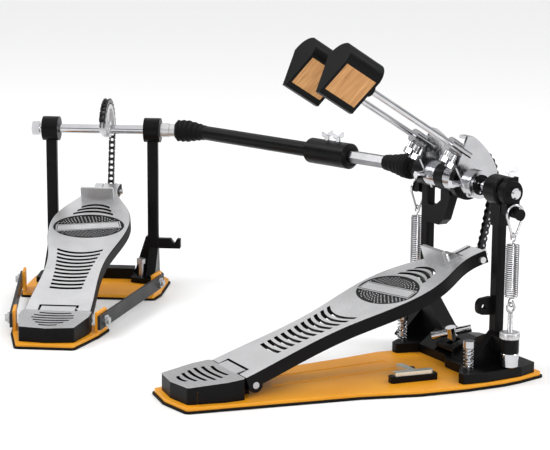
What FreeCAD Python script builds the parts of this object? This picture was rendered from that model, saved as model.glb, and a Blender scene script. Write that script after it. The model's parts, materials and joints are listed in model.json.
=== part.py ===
"""Double bass drum pedal: a primary pedal, a slave pedal and the driveshaft between them.

Row frame: +Z up, +X to the drummer's right, +Y forward to the drum. The origin is on the floor,
on the primary pedal's centre line, straight below its axle. Lengths are in millimetres.
The slave pedal is drawn in a frame of its own, laid out like the primary's, and is then placed.
"""
import FreeCAD, Part
import math
import os

V = FreeCAD.Vector

# Driving dimensions
AXLE_HEIGHT = 172.0
AXLE_RADIUS = 5.0
FIT = 0.05                      # radial clearance of a running or sliding fit
GAP = 0.5                       # clearance between bodies that pass each other
PAD_THICKNESS = 2.0
PLATE_THICKNESS = 3.0
PLATE_TOP = PAD_THICKNESS + PLATE_THICKNESS
POST_OFFSET = 55.0              # right upright's distance from the centre line
POST_WIDTH = 12.0
POST_DEPTH = 9.0
HOUSING_RADIUS = 13.5
BEARING_RADIUS = 11.0
WHEEL_RADIUS = 31.5             # chain's pitch line around the axle
CHAIN_WIDTH = 7.0
CHAIN_HEIGHT = 6.2
HEEL_PIN = V(0, -234, 16)
HEEL_PIN_RADIUS = 3.0
BOARD_LENGTH = 262.0            # from the heel pin to the toe's end
BOARD_SLOPE = 18.5              # degrees
BOARD_TOP = 10.5                # tread surface above the heel pin's line
TOE_PIN_ALONG = 256.0
TOE_PIN_UP = 3.5
TOE_PIN_LEFT = -12.0
TOE_PIN_RIGHT = 21.5
HEEL_SLOTS = 11
HEEL_SLOT_START = 35.0
SLOT_PITCH = 7.1
SLOT_WIDTH = 3.8
CHAIN_PIN_ALONG = 267.0
HUB_RADIUS = 13.0
CLAMP_BARREL = 6.5              # outer radius of the beater rod's clamp
BEATER_PITCH = 60.0             # side-to-side distance between the two beaters
BEATER_X = 12.0                 # primary beater's rod
ROD_RADIUS = 3.0
ROD_TILT = 58.5                 # degrees back from upright, at rest
SPRING_RADIUS = 6.35
SPRING_WIRE = 1.4
HOOK_RADIUS = 3.6
HOOK_WIRE = 0.7
SPRING_DROP = 18.0              # spring boss below the axle, at rest
EYE_HEIGHT = 69.0
SLAVE_ORIGIN = V(-470.5, -165.2, 0)
SLAVE_TURN = 56.6               # degrees, counter-clockwise from above
PRIMARY_JOINT_X = -102.0        # universal joint's centre, primary frame
SLAVE_JOINT_X = 102.0           # universal joint's centre, slave frame
HEX_FLATS = 11.6
TUBE_RADIUS = 7.75
YOKE_RADIUS = 7.0
FOOT_TOP = 14.0                 # uprights' feet
LUG_LOW = 28.0
LUG_TOP = 40.3
LUG_RADIUS = 8.5
SPRING_X = 77.0
SPRING_LEFT_X = -79.0
SPRING_Y = -0.5
COIL_LOW = 78.0
COIL_HIGH = 127.0
BOLT_RADIUS = 2.5               # spring eyebolts and the clamp lever's pivot
POST_LEFT_OFFSET = -61.0
MIDDLE_HOUSING = (-34.0, -20.0)
SPUR_RADIUS = 3.0
SPUR_PLACES = [(66, -37), (-49, -34)]
SPUR_HEAD_LOW = 34.0
CLAMP_X = 8.0
CLAMP_TILT = 15.0               # degrees that the screw leans back
JAW_HALF = 14.0
JAW_PIVOT = V(CLAMP_X, 2, 21)
SCREW_FOOT = V(CLAMP_X, -12, 15.3)
CHAIN_X = 1.5
CHAIN_X_SLAVE = 6.0
CHAIN_PIN_RADIUS = 1.8
RIM_RADIUS = WHEEL_RADIUS - CHAIN_HEIGHT / 2 - 0.3
WHEEL_START = -8.0              # degrees from straight forward
WRAP_SWEEP = 100.0
WRAP_SWEEP_SLAVE = 165.0
ROCKER_RADIUS = 11.2
BOSS_RADIUS = 4.2
BOSS_Y = 1.0
LINK_WIRE = 1.2
LINK_RADIUS = 8.7
LINK_DROP = 1.2                 # link's upper bend below the rocker's boss
LINK_FOOT = 133.2               # height of the spring link's lower bend
LINK_FOOT_RADIUS = 2.4
HEAD_START = 125.0              # distance of a beater's head along its rod
HEAD_LENGTH = 34.0
ROD_PLACE = V(-16.4, -4.7, 0)   # rod's place inside the head's section
SHAFT_SCREWS = (213.0, 229.0)
SLAVE_POST = 57.0
RAIL_START = V(42.5, -256, 8)   # lower inner corners of the slave's right-hand rail
RAIL_END = V(75.5, -70, 10)
RAIL_THICKNESS = 3.0

SLAVE = FreeCAD.Placement(SLAVE_ORIGIN, FreeCAD.Rotation(V(0, 0, 1), SLAVE_TURN))
AXLE = V(0, 0, AXLE_HEIGHT)
X, Y, Z = V(1, 0, 0), V(0, 1, 0), V(0, 0, 1)


# Shapes

def box(x0, x1, y0, y1, z0, z1):
    return Part.makeBox(x1 - x0, y1 - y0, z1 - z0, V(x0, y0, z0))


def bar(start, end, radius):
    """Round bar from one point to another."""
    return Part.makeCylinder(radius, (end - start).Length, start, end - start)


def tube(start, end, outer, inner):
    return bar(start, end, outer).cut(bar(start, end, inner))


def across(x0, x1, y, z, radius):
    """Round bar along X."""
    return bar(V(x0, y, z), V(x1, y, z), radius)


def ring(x0, x1, y, z, outer, inner):
    """Short tube along X."""
    return across(x0, x1, y, z, outer).cut(across(x0, x1, y, z, inner))


def rounded_wire(corners, radius):
    """Closed wire through the corners, each one rounded."""
    cuts = []
    for index, corner in enumerate(corners):
        before = (corners[index - 1] - corner).normalize()
        after = (corners[(index + 1) % len(corners)] - corner).normalize()
        half = before.getAngle(after) / 2
        reach = radius / math.tan(half)
        inward = (before + after).normalize() * (radius / math.sin(half) - radius)
        cuts.append((corner + before * reach, corner + inward, corner + after * reach))
    edges = []
    for index, (start, middle, end) in enumerate(cuts):
        edges.append(Part.Arc(start, middle, end).toShape())
        edges.append(Part.LineSegment(end, cuts[(index + 1) % len(cuts)][0]).toShape())
    return Part.Wire(edges)


def plate(corners, z0, z1, radius=0.0):
    """Flat plate from an outline in X and Y."""
    points = [V(x, y, z0) for x, y in corners]
    wire = rounded_wire(points, radius) if radius else Part.makePolygon(points + points[:1])
    return Part.Face(wire).extrude(V(0, 0, z1 - z0))


def cheek(corners, x0, x1, radius=0.0):
    """Flat plate from an outline in Y and Z."""
    points = [V(x0, y, z) for y, z in corners]
    wire = rounded_wire(points, radius) if radius else Part.makePolygon(points + points[:1])
    return Part.Face(wire).extrude(V(x1 - x0, 0, 0))


def frontal(corners, y0, y1, radius=0.0):
    """Flat plate from an outline in X and Z."""
    points = [V(x, y0, z) for x, z in corners]
    wire = rounded_wire(points, radius) if radius else Part.makePolygon(points + points[:1])
    return Part.Face(wire).extrude(V(0, y1 - y0, 0))


def hexagon(start, end, flats):
    """Hexagonal bar, with two of its corners on a horizontal line across it."""
    along = (end - start).normalize()
    side = Z.cross(along)
    side = side.normalize() if side.Length > 0.1 else V(1, 0, 0)
    up = along.cross(side)
    reach = flats / math.sqrt(3)
    turns = [math.radians(60 * step) for step in range(7)]
    points = [start + side * (reach * math.cos(t)) + up * (reach * math.sin(t)) for t in turns]
    return Part.Face(Part.makePolygon(points)).extrude(end - start)


def torus(centre, axis, radius, wire):
    return Part.makeTorus(radius, wire, centre, axis)


def wing_screw(seat, along, spread, stud, size=1.0):
    """Screw with a round stud below its seat, a collar above it and two flat wings."""
    along = V(along).normalize()
    spread = V(spread).normalize()
    screw = bar(seat - along * stud, seat, 2.0)
    screw = screw.fuse(bar(seat, seat + along * 6 * size, 3.4 * size))
    side = along.cross(spread)
    for sign in (-1, 1):
        root = seat + along * 2.0 * size - side * 1.2 * size
        tip = root + spread * (sign * 9.0 * size) + along * 4.0 * size
        corners = [root, tip, tip + along * 5.5 * size, root + along * 5.0 * size]
        wing = Part.Face(Part.makePolygon(corners + corners[:1])).extrude(side * 2.4 * size)
        screw = screw.fuse(wing)
    return screw.removeSplitter()


def keep(name, *solids, place=None):
    """Write one node: a solid, or a group of separate ones."""
    shape = solids[0].copy() if len(solids) == 1 else Part.makeCompound(list(solids))
    if place:
        shape.Placement = place.multiply(shape.Placement)
    shape.exportStep("parts/" + name + ".step")


# Places on the tilted footboard

BOARD_ALONG = V(0, math.cos(math.radians(BOARD_SLOPE)), math.sin(math.radians(BOARD_SLOPE)))
BOARD_UP = V(0, -BOARD_ALONG.z, BOARD_ALONG.y)
BOARD_PLACE = FreeCAD.Placement(HEEL_PIN, FreeCAD.Rotation(X, BOARD_SLOPE))


def on_board(along, up, x=0.0):
    """Point at a distance along the footboard from the heel pin, and above the pin's line."""
    return HEEL_PIN + BOARD_ALONG * along + BOARD_UP * up + X * x


def chain_tangent():
    """Where the straight run of chain leaves the wheel, and the run's upward direction."""
    pin = on_board(CHAIN_PIN_ALONG, TOE_PIN_UP)
    away = AXLE - pin
    lean = math.asin(WHEEL_RADIUS / away.Length)
    rise = math.atan2(away.y, away.z) + lean
    upward = V(0, math.sin(rise), math.cos(rise))
    return pin + upward * (away.Length * math.cos(lean)), upward, math.degrees(rise)


# Base

PLATE_OUTLINE = [(-34, -300), (0, -305), (34, -300), (63, -148), (79, -95), (85, -50), (86, -12),
                 (84, 6), (77, 36), (26, 36), (26, 44), (-10, 44), (-10, 36), (-76, 36), (-76, -8),
                 (-64, -22), (-47, -46), (-49, -62), (-45, -100)]
HEEL_OUTLINE = [(-27, -296), (0, -300), (27, -296), (35, -262), (35, -244.8), (-35, -244.8),
                (-35, -262)]
HEEL_SLOT_HALVES = (9, 14, 18, 21, 20, 16)
HEEL_SLOT_PITCH = 7.2
KNUCKLE_HALF = 19.4
KNUCKLE_RADIUS = 6.6
CHANNEL_DEPTH = 0.5


def base_sheet(z0, z1):
    """Layer of the base, with clearance holes for the spurs."""
    holes = [bar(V(x, y, z0 - 1), V(x, y, z1 + 1), SPUR_RADIUS + GAP) for x, y in SPUR_PLACES]
    return plate(PLATE_OUTLINE, z0, z1, 3.5).cut(holes)


def base_plate():
    """Steel plate with two pressed channels under the footboard."""
    steel = base_sheet(PAD_THICKNESS, PLATE_TOP)
    for x in (-16, 10):
        channel = box(x - 4, x + 4, -205, -72, PLATE_TOP - CHANNEL_DEPTH, PLATE_TOP + 1)
        steel = steel.cut(channel)
    return steel


def heel_plate():
    """Hollow heel rest, lower at its back, with the hinge's middle knuckle in front."""
    body = plate(HEEL_OUTLINE, PLATE_TOP, 30, 3.0)
    top = box(-60, 60, -80, 60, 0, 40)
    slope = FreeCAD.Placement(V(0, -297, 20), FreeCAD.Rotation(X, 4.4))
    top.Placement = slope
    body = body.cut(top)
    hollow = box(-29, 29, -288, -252, PLATE_TOP, 15.5)
    pin = HEEL_PIN
    knuckle = box(-KNUCKLE_HALF, KNUCKLE_HALF, -246, pin.y, PLATE_TOP, pin.z + KNUCKLE_RADIUS)
    knuckle = knuckle.fuse(across(-KNUCKLE_HALF, KNUCKLE_HALF, pin.y, pin.z, KNUCKLE_RADIUS))
    tongue_outline = [(-246, 20), (-246, 24.0), (-236.2, 26.2), (-236.2, 20)]
    tongue = cheek(tongue_outline, 2 - KNUCKLE_HALF, KNUCKLE_HALF - 2)
    body = body.cut(hollow).fuse([knuckle, tongue])
    body = body.cut(across(-40, 40, pin.y, pin.z, HEEL_PIN_RADIUS))
    for index, half in enumerate(HEEL_SLOT_HALVES):
        y = -290.5 + HEEL_SLOT_PITCH * index
        body = body.cut(slot(y, half, 3.2, -2.0).translated(Z * 15))
    return body.removeSplitter()


def heel_pin():
    return across(-33.2, 33.2, HEEL_PIN.y, HEEL_PIN.z, HEEL_PIN_RADIUS)


# Uprights and castings of the primary pedal

def upright(x, z0, z1):
    half = POST_WIDTH / 2
    post = box(x - half, x + half, -POST_DEPTH / 2, POST_DEPTH / 2, z0, z1)
    upright_edges = [e for e in post.Edges if abs(e.tangentAt(e.FirstParameter).z) > 0.9]
    return post.makeFillet(2.0, upright_edges)


def housing(x0, x1):
    """Bearing housing around the axle, bored for its bearing."""
    body = across(x0, x1, 0, AXLE_HEIGHT, HOUSING_RADIUS)
    rims = [e for e in body.Edges if isinstance(e.Curve, Part.Circle)]
    body = body.makeFillet(2.0, rims)
    body = body.cut(across(x0 + 3, x1 + 1, 0, AXLE_HEIGHT, BEARING_RADIUS))
    return body.cut(across(x0 - 1, x1, 0, AXLE_HEIGHT, AXLE_RADIUS + 1.5))


def spring_lug(x, reach):
    """Lug on the outside of an upright, holding the spring's tension bolt."""
    arm = box(min(x, reach), max(x, reach), -8, 6, LUG_LOW, LUG_TOP)
    lug = arm.fuse(bar(V(x, SPRING_Y, LUG_LOW), V(x, SPRING_Y, LUG_TOP), LUG_RADIUS))
    return lug.cut(bar(V(x, SPRING_Y, LUG_LOW - 1), V(x, SPRING_Y, LUG_TOP + 1), BOLT_RADIUS + FIT))


def knob_room(x):
    """Space for the tension knob between the lug and the foot."""
    return bar(V(x, SPRING_Y, FOOT_TOP), V(x, SPRING_Y, LUG_LOW), LUG_RADIUS + GAP)


def spur_hole(place):
    """Hole for a spur through an upright's foot."""
    return bar(V(*place, PLATE_TOP), V(*place, FOOT_TOP + 1), SPUR_RADIUS + FIT)


def post_right():
    x = POST_OFFSET
    body = upright(x, PLATE_TOP, AXLE_HEIGHT - 6)
    body = body.fuse(housing(x - 10, x + 9))
    neck = frontal([(x - 6, 140), (x + 6, 140), (x + 9, 160), (x - 6, 160)], -6, 6)
    foot_outline = [(50.4, -34), (73, -52), (81, -52), (84, -29), (82, 10), (75, 30), (50.4, 30)]
    foot = plate(foot_outline, PLATE_TOP, FOOT_TOP, 2.5)
    gusset = cheek([(-34, FOOT_TOP), (-4, 44), (4, 44), (16, FOOT_TOP)], x - 4, x + 6, 1.5)
    ear = cheek([(-20, 59), (-20, 73), (0, 75), (0, 57)], x - 6, x - 1, 6.0)
    flank = frontal([(x + 5, FOOT_TOP), (x + 22, FOOT_TOP), (x + 5, 36)], -4, 4)
    body = body.fuse([neck, foot, gusset, ear, flank, spring_lug(SPRING_X, x)])
    body = body.cut(across(x - 8, x + 2, -13, 66, 2.6))
    body = body.cut(across(x - 7, x + 9.5, 0, AXLE_HEIGHT, AXLE_RADIUS + 1.5))
    body = body.cut(across(x - 7, x + 9.5, 0, AXLE_HEIGHT, BEARING_RADIUS))
    body = body.cut([spur_hole(SPUR_PLACES[0]), knob_room(SPRING_X)])
    return body.removeSplitter()


def post_left():
    """Left upright, with the arm that carries the middle bearing."""
    x = POST_LEFT_OFFSET
    body = upright(x, PLATE_TOP, AXLE_HEIGHT - 6)
    left_housing = across(x - 7, x + 8, 0, AXLE_HEIGHT, HOUSING_RADIUS)
    middle_housing = across(*MIDDLE_HOUSING, 0, AXLE_HEIGHT, HOUSING_RADIUS)
    arm_outline = [(x, 125), (-36, 125), (-28, 131), (-17.5, 155.5), (-20.3, 158.2), (-20.3, 164),
                   (-33.8, 164), (-33.8, 149), (-44, 142), (x, 142)]
    arm = frontal(arm_outline, -4.5, 4.5, 0.8)
    foot_outline = [(-45, -48), (-36, -48), (-31.3, -27), (-31.3, 30), (-76, 30), (-76, -8),
                    (-64, -20)]
    foot = plate(foot_outline, PLATE_TOP, FOOT_TOP, 3.0)
    web_outline = [(-56, FOOT_TOP), (-31.3, FOOT_TOP), (-31.3, 38.3), (-46.5, 50.8), (-56, 60)]
    web = frontal(web_outline, -8, 8)
    gusset = cheek([(-34, FOOT_TOP), (-4, 44), (4, 44), (16, FOOT_TOP)], x - 5, x + 5, 1.5)
    body = body.fuse([left_housing, middle_housing, arm, foot, web, gusset])
    body = body.fuse(spring_lug(SPRING_LEFT_X, x))
    bore = across(x - 7.5, x + 8.5, 0, AXLE_HEIGHT, BEARING_RADIUS)
    middle_bore = across(MIDDLE_HOUSING[0] - 1, MIDDLE_HOUSING[1] + 1, 0, AXLE_HEIGHT, BEARING_RADIUS)
    body = body.cut([bore, middle_bore, spur_hole(SPUR_PLACES[1]), knob_room(SPRING_LEFT_X)])
    return body.removeSplitter()


def bridge_casting():
    """Arched casting that ties the uprights' feet together and carries the hoop clamp's lever."""
    left, right = -31.0, POST_OFFSET - POST_WIDTH / 2 - 0.2
    low, high = CLAMP_X - JAW_HALF - 0.6, CLAMP_X + JAW_HALF + 0.6
    floor = 15.0
    arch = [(left, PLATE_TOP), (left, 38), (-21, 30), (-12, 27), (low, 26), (low, floor),
            (high, floor), (high, 26), (30, 28), (36, 33), (right, 39), (right, PLATE_TOP)]
    web = frontal(arch, -8, 8)
    skirt_outline = [(left, -26), (12, -26), (25, -34), (right, -34), (right, 30), (left, 30)]
    skirt = plate(skirt_outline, PLATE_TOP, FOOT_TOP - 1)
    slope_line = [(-26, FOOT_TOP - 1), (-8, 26), (8, 26), (20, FOOT_TOP - 1)]
    slopes = [cheek(slope_line, left, low), cheek(slope_line, high, right)]
    pin = across(low - 4, high + 4, JAW_PIVOT.y, JAW_PIVOT.z, BOLT_RADIUS)
    body = web.fuse([skirt] + slopes)
    body = body.cut(box(low, high, 9, 31, PLATE_TOP, floor + 1))
    return body.fuse(pin).removeSplitter()


# Hoop clamp

def hoop_jaw():
    """Lever whose nose presses the drum's hoop on the base while the screw lifts its tail."""
    outline = [(-24, 16.4), (-24, 20.5), (-8, 25.5), (8, 26.5), (24, 24), (36, 20.5), (36, 16),
               (26, 16.4)]
    low, high = CLAMP_X - JAW_HALF, CLAMP_X + JAW_HALF
    jaw = cheek(outline, low, high, 1.2)
    jaw = jaw.cut(across(low - 1, high + 1, JAW_PIVOT.y, JAW_PIVOT.z, BOLT_RADIUS + FIT))
    slit = SPUR_RADIUS + 2 * GAP
    return jaw.cut(box(CLAMP_X - slit, CLAMP_X + slit, -20.5, -7.5, 10, 30))


def hoop_screw():
    """T-handled screw that stands on the casting and lifts the jaw's tail."""
    tilt = math.radians(CLAMP_TILT)
    along = V(0, -math.sin(tilt), math.cos(tilt))
    spread = V(0.6, math.cos(tilt), math.sin(tilt)).normalize()
    neck, middle = SCREW_FOOT + along * 13, SCREW_FOOT + along * 17.7
    stud = bar(SCREW_FOOT, neck, SPUR_RADIUS)
    collar = bar(neck, SCREW_FOOT + along * 22.5, 5.0)
    handle = bar(middle - spread * 18.7, middle + spread * 18.7, 3.6)
    return stud.fuse([collar, handle]).removeSplitter()


def spur(x, y):
    """Pointed screw through the foot, with a wide head."""
    head = bar(V(x, y, SPUR_HEAD_LOW), V(x, y, SPUR_HEAD_LOW + 6), 5.4)
    shank = bar(V(x, y, 6.5), V(x, y, SPUR_HEAD_LOW), SPUR_RADIUS)
    point = Part.makeCone(0.6, SPUR_RADIUS, 3.0, V(x, y, 3.5), Z)
    return head.fuse([shank, point]).removeSplitter()


def spur_spring(x, y):
    return tube(V(x, y, FOOT_TOP), V(x, y, SPUR_HEAD_LOW - 0.2), 5.0, SPUR_RADIUS + 0.4)


# Axles, hubs and the chain wheel

def hub(x0, x1, rod_x, plate_x):
    """Beater hub: a sleeve on the axle, a side plate with a bent top lug, and a rod clamp."""
    sleeve = across(x0, x1, 0, AXLE_HEIGHT, HUB_RADIUS)
    z = AXLE_HEIGHT
    outline = [(23, 9.5), (0, -12.5), (-8, -12), (-22, 15.5), (-11, 44), (-5, 44)]
    corners = [V(plate_x, y, z + up) for y, up in outline]
    edges = [Part.Arc(corners[-1], V(plate_x, 11.5, z + 29.5), corners[0]).toShape()]
    edges += [Part.LineSegment(a, b).toShape() for a, b in zip(corners, corners[1:])]
    side = Part.Face(Part.Wire(edges)).extrude(V(3, 0, 0))
    lug = box(plate_x - 11, plate_x + 3, -11, -5, z + 41, z + 44)
    start, along = rod_line(rod_x)
    barrel = bar(start - along * 6, start + along * 18, CLAMP_BARREL)
    web = cheek([(-14, z + 17), (-9, z + 5), (0, z + 10), (0, z + 26), (-8, z + 28)], rod_x - 4, rod_x + 4)
    body = sleeve.fuse([side, lug, barrel, web])
    body = body.cut([across(x0 - 1, x1 + 1, 0, z, AXLE_RADIUS), across(x1 - 2.5, x1 + 1, 0, z, 9.5)])
    body = body.cut(bar(start - along * 40, start + along * 60, ROD_RADIUS + FIT))
    return body.removeSplitter()


def rod_line(x):
    """Start of a beater rod in its clamp, and the rod's direction."""
    tilt = math.radians(ROD_TILT)
    return V(x, -12, AXLE_HEIGHT + 29), V(0, -math.sin(tilt), math.cos(tilt))


def hub_screws(rod_x, sleeve_x):
    """Square-headed screws of a hub: two on the rod clamp, one on the axle."""
    start, along = rod_line(rod_x)
    back = along.cross(X) * -1
    screws = []
    for offset, length in ((6, 8), (14.5, 6)):
        seat = start + along * offset + back * CLAMP_BARREL
        flats = hexagon(seat + back * length, seat + back * (length + 5), 7.6)
        screws.append(bar(seat, seat + back * length, 3.0).fuse(flats).removeSplitter())
    seat = V(sleeve_x, -HUB_RADIUS, AXLE_HEIGHT)
    flats = hexagon(seat - Y * 6, seat - Y * 10, 6.6)
    screws.append(bar(seat, seat - Y * 6, 3.3).fuse(flats).removeSplitter())
    return screws


def wheel_sector(centre_x, start, sweep, radius, solid_hub):
    """Part of a wheel that carries the chain, open between its hub and its rim."""
    half = CHAIN_WIDTH / 2
    low, high = centre_x - half, centre_x + half
    rim = sector(low, high, start, sweep, radius, radius - 5)
    boss = ring(low, high, 0, AXLE_HEIGHT, solid_hub + 4, solid_hub)
    spokes = []
    for turn in (start + 3, start + sweep / 2, start + sweep - 3):
        spoke = box(low + 2, high - 2, -4, 4, solid_hub + 2, radius - 2)
        spoke.rotate(V(0, 0, 0), X, turn - 90)
        spoke.translate(AXLE)
        spokes.append(spoke)
    body = rim.fuse([boss] + spokes)
    return body.cut(across(low - 1, high + 1, 0, AXLE_HEIGHT, solid_hub)).removeSplitter()


def sector(x0, x1, start, sweep, outer, inner):
    """Piece of a ring around the axle. Angles are from +Y, towards +Z, in degrees."""
    begin = math.radians(start)
    profile = []
    for x, radius in ((x0, inner), (x1, inner), (x1, outer), (x0, outer)):
        profile.append(V(x, radius * math.cos(begin), AXLE_HEIGHT + radius * math.sin(begin)))
    face = Part.Face(Part.makePolygon(profile + profile[:1]))
    return face.revolve(AXLE, X, sweep)


def rocker(x0, x1, boss_x0, boss_x1, cap_x):
    """Clamp on the axle with the short arm that pulls the spring."""
    body = across(x0, x1, 0, AXLE_HEIGHT, ROCKER_RADIUS)
    rims = [e for e in body.Edges if isinstance(e.Curve, Part.Circle)]
    body = body.makeFillet(1.5, rims)
    arm = box(x0 + 1, x1 - 1, -6, 8, AXLE_HEIGHT - SPRING_DROP - 2, AXLE_HEIGHT)
    crest = box(x0 + 3, x1 - 1, -6, 6, AXLE_HEIGHT, AXLE_HEIGHT + 14)
    boss = across(boss_x0, boss_x1, BOSS_Y, AXLE_HEIGHT - SPRING_DROP, BOSS_RADIUS)
    cap = across(cap_x, cap_x + 1.5, BOSS_Y, AXLE_HEIGHT - SPRING_DROP, BOSS_RADIUS + 1)
    body = body.fuse([arm, crest, boss, cap])
    return body.cut(across(x0 - 1, x1 + 1, 0, AXLE_HEIGHT, AXLE_RADIUS)).removeSplitter()


def spring_link(x):
    """Teardrop of wire, round the rocker's boss at the top and the spring's hook below."""
    top = V(x, BOSS_Y, AXLE_HEIGHT - SPRING_DROP - LINK_DROP)
    foot = V(x, 0.4, LINK_FOOT + LINK_FOOT_RADIUS)
    reach = top - foot
    spread = math.acos((LINK_RADIUS - LINK_FOOT_RADIUS) / reach.Length)
    base = math.atan2(reach.z, reach.y)

    def around(centre, radius, turn):
        return centre + V(0, math.cos(turn), math.sin(turn)) * radius

    sides = [base + math.pi + spread, base + math.pi - spread]
    bends = []
    for centre, radius, turns in ((top, LINK_RADIUS, (sides[1], base, sides[0])),
                                  (foot, LINK_FOOT_RADIUS, (sides[0], base + math.pi, sides[1]))):
        bends.append(Part.Arc(*[around(centre, radius, turn) for turn in turns]))
    upper, lower = bends
    legs = [Part.LineSegment(upper.EndPoint, lower.StartPoint),
            Part.LineSegment(lower.EndPoint, upper.StartPoint)]
    path = Part.Wire([part.toShape() for part in (upper, legs[0], lower, legs[1])])
    start = path.OrderedVertexes[0].Point
    edge = path.OrderedEdges[0]
    section = Part.Wire(Part.Circle(start, edge.tangentAt(edge.FirstParameter), LINK_WIRE).toShape())
    return path.makePipeShell([section], True, False)


def spring(x):
    """Extension spring: coil body, with a hook at each end."""
    low, high = V(x, SPRING_Y, COIL_LOW), V(x, SPRING_Y, COIL_HIGH)
    inner, stub_radius = SPRING_RADIUS - SPRING_WIRE, HOOK_WIRE + 0.1
    coil = bar(low, high, SPRING_RADIUS).cut(bar(low + Z * 1.2, high - Z * 1.2, inner))
    hooks = [torus(V(x, SPRING_Y, EYE_HEIGHT + 4.3), Y, HOOK_RADIUS, HOOK_WIRE),
             torus(V(x, high.y, LINK_FOOT - 0.2), Y, HOOK_RADIUS, HOOK_WIRE)]
    stubs = [bar(V(x, SPRING_Y, EYE_HEIGHT + 7.7), low + Z * 0.5, stub_radius),
             bar(high - Z * 0.5, V(x, high.y, LINK_FOOT - 3.7), stub_radius)]
    body = coil.fuse(hooks + stubs)
    return body.removeSplitter()


def tension_adjusters(x):
    """Eyebolt, the knurled nut above its lug and the tension knob below."""
    y, low = SPRING_Y, FOOT_TOP + 0.6
    eye = ring(x - 1.3, x + 1.3, y, EYE_HEIGHT, 5.2, 3.0)
    bolt = bar(V(x, y, low + 3), V(x, y, EYE_HEIGHT - 4.6), BOLT_RADIUS).fuse(eye)
    nut = tube(V(x, y, LUG_TOP), V(x, y, LUG_TOP + 6), 9.2, BOLT_RADIUS)
    knob = bar(V(x, y, low), V(x, y, LUG_LOW - 0.4), LUG_RADIUS)
    knob = knob.cut(bar(V(x, y, low + 3), V(x, y, LUG_LOW), BOLT_RADIUS))
    return [bolt.removeSplitter(), nut, knob]


# Footboards and chains

def board_outline(inset):
    """Closed curve of the footboard seen from above, in its own frame."""
    stations = [(-7, 33.4), (25, 32), (55, 30.2), (100, 32), (138, 40), (165, 43.5), (185, 42),
                (212, 32), (232, 21.5), (BOARD_LENGTH, 19.5)]
    right = [V(half - inset, along, 0) for along, half in stations]
    right[0].y += inset
    right[-1].y -= inset
    side = Part.BSplineCurve()
    side.interpolate(right)
    mirror = Part.BSplineCurve()
    mirror.interpolate([V(-p.x, p.y, 0) for p in reversed(right)])
    toe = Part.LineSegment(right[-1], V(-right[-1].x, right[-1].y, 0))
    heel = Part.LineSegment(V(-right[0].x, right[0].y, 0), right[0])
    return Part.Face(Part.Wire([side.toShape(), toe.toShape(), mirror.toShape(), heel.toShape()]))


def slot(along, half, thick, bow):
    """Curved slot across the board. A positive bow bulges it to the toe."""
    wires = []
    for side in (-thick / 2, thick / 2):
        end = along + side - bow
        wires.append([V(-half, end, 0), V(0, along + side, 0), V(half, end, 0)])
    low, high = wires
    edges = [Part.Arc(*low).toShape(), Part.LineSegment(low[2], high[2]).toShape(),
             Part.Arc(*reversed(high)).toShape(), Part.LineSegment(high[0], low[0]).toShape()]
    return Part.Face(Part.Wire(edges)).extrude(V(0, 0, 30))


def footboard(chain_x):
    """Cast footboard: a tread plate with a skirt round it, hinged at the heel."""
    top = BOARD_TOP
    body = board_outline(0).extrude(V(0, 0, 12))
    body.translate(V(0, 0, top - 12))
    hollow = board_outline(4.0).extrude(V(0, 0, 8.6))
    hollow.translate(V(0, 0, top - 12))
    body = body.cut(hollow)
    rims = [e for e in body.Edges if e.BoundBox.ZMin > top - 0.1 and e.Length > 60]
    body = body.makeFillet(1.2, rims)
    for sign in (-1, 1):
        inner, outer = sorted((sign * (KNUCKLE_HALF + 0.9), sign * 32.6))
        knuckle = across(inner, outer, 0, 0, KNUCKLE_RADIUS)
        body = body.fuse([knuckle, box(inner, outer, -5, 14, 0, top - 3)])
    notch = box(-20.0, 20.0, -10, 3.5, -20, 20)
    pin_hole = across(-40, 40, 0, 0, HEEL_PIN_RADIUS + FIT)
    clip_slot = box(chain_x - 7.2, chain_x + 7.2, 243, 270, -20, 20)
    toe_side = box(-30, TOE_PIN_LEFT + 2, 241, 270, -20, 20)
    toe_hole = across(-25, 25, TOE_PIN_ALONG, TOE_PIN_UP, 3.0)
    body = body.cut([notch, pin_hole, clip_slot, toe_side, toe_hole])
    slots = []
    for index in range(HEEL_SLOTS):
        growth = (index / (HEEL_SLOTS - 1)) ** 2
        slots.append(slot(HEEL_SLOT_START + SLOT_PITCH * index, 16.8 + 7.5 * growth, SLOT_WIDTH,
                          -1.8 - 5.5 * growth))
    for index in range(3):
        slots.append(slot(196 + 7.5 * index, 22.0 - 3.2 * index, 4.2, 6.0))
    body = body.cut([shape.translated(V(0, 0, top - 5)) for shape in slots])
    badge = Part.Ellipse(V(0, 0, 0), 38.5, 25.5).toShape()
    badge_cut = Part.Face(Part.Wire(badge)).extrude(V(0, 0, 3)).translated(V(0, 163.5, top - 0.8))
    body = body.cut(badge_cut).removeSplitter()
    body.Placement = BOARD_PLACE
    return body


def toe_stop():
    """Upright tab that stops the toe, with the bent foot it is screwed down by."""
    top = BOARD_TOP
    tab = box(-18, 18, 218, 221.5, top, top + 17)
    corners = [e for e in tab.Edges if e.BoundBox.ZMin > top + 16 and e.BoundBox.XLength < 0.1]
    tab = tab.makeFillet(1.0, corners)
    foot = box(-11, 11, 221, 240, top, top + 3)
    boss = bar(V(0, 228, top + 3), V(0, 228, top + 8), 5.5)
    slot_cut = box(-2.5, 2.5, 234, 238, top - 1, top + 4)
    body = tab.fuse([foot, boss]).cut(slot_cut).removeSplitter()
    body.Placement = BOARD_PLACE
    return body


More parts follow.
